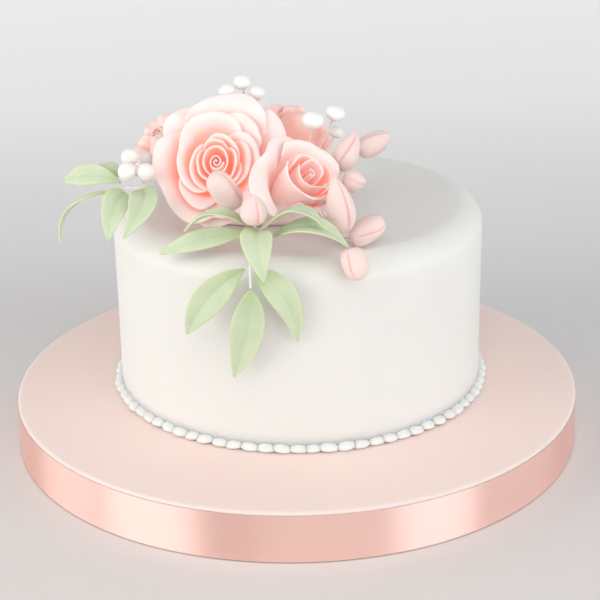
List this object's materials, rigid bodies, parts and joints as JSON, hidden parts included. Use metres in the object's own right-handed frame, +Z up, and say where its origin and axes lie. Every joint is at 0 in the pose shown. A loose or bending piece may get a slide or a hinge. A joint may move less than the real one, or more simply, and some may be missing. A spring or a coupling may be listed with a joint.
{
  "type": "ribbon cake",
  "caption": "Round iced cake on an iced drum with a satin ribbon edge, a piped pearl border and a spray of sugar roses, buds, berries and leaves.",
  "frame": {"origin": "under the middle of the drum, on the surface that it stands on", "axes": "+Z up; -Y towards the front, where the flower spray hangs over the rim; +X to the right seen from the front"},
  "size_m": [0.2032, 0.2032, 0.1331],
  "materials": {
    "foil_board": "silver embossed foil on card, seen only from below",
    "pink_icing": "satin sugarpaste, pale pink",
    "satin_ribbon": "glossy peach satin",
    "white_icing": "smooth satin sugarpaste, warm white",
    "posy_paste": "soft sugarpaste, pale pink",
    "rose_paste": "matt dusted flower paste, pale pink edges and coral throats",
    "bud_paste": "matt dusted flower paste, pale pink",
    "berry_paste": "glazed white, slightly pearly",
    "leaf_paste": "matt dusted flower paste, pale green",
    "florist_wire": "paper covered, white"
  },
  "bodies": {
    "root": {"berry_left_1": "berry_paste", "berry_left_2": "berry_paste", "berry_left_3": "berry_paste", "berry_left_4": "berry_paste", "berry_right_1": "berry_paste", "berry_right_2": "berry_paste", "berry_right_3": "berry_paste", "berry_top_1": "berry_paste", "berry_top_2": "berry_paste", "berry_top_3": "berry_paste", "board_icing": "pink_icing", "bud_1": "bud_paste", "bud_2": "bud_paste", "bud_3": "bud_paste", "bud_4": "bud_paste", "bud_5": "bud_paste", "bud_6": "bud_paste", "bud_7": "bud_paste", "bud_8": "bud_paste", "cake": "white_icing", "drum_board": "foil_board", "leaf_drop_1": "leaf_paste", "leaf_drop_2": "leaf_paste", "leaf_drop_3": "leaf_paste", "leaf_front_1": "leaf_paste", "leaf_front_2": "leaf_paste", "leaf_front_3": "leaf_paste", "leaf_front_4": "leaf_paste", "leaf_front_5": "leaf_paste", "leaf_left_1": "leaf_paste", "leaf_left_2": "leaf_paste", "leaf_left_3": "leaf_paste", "leaf_left_4": "leaf_paste", "leaf_left_5": "leaf_paste", "pearl_border": "white_icing", "posy_paste": "posy_paste", "ribbon": "satin_ribbon", "rose_back_left": "rose_paste", "rose_back_right": "rose_paste", "rose_half_open": "rose_paste", "rose_open": "rose_paste", "wire_drop": "florist_wire", "wire_front": "florist_wire", "wire_left": "florist_wire"}
  },
  "joints": []
}
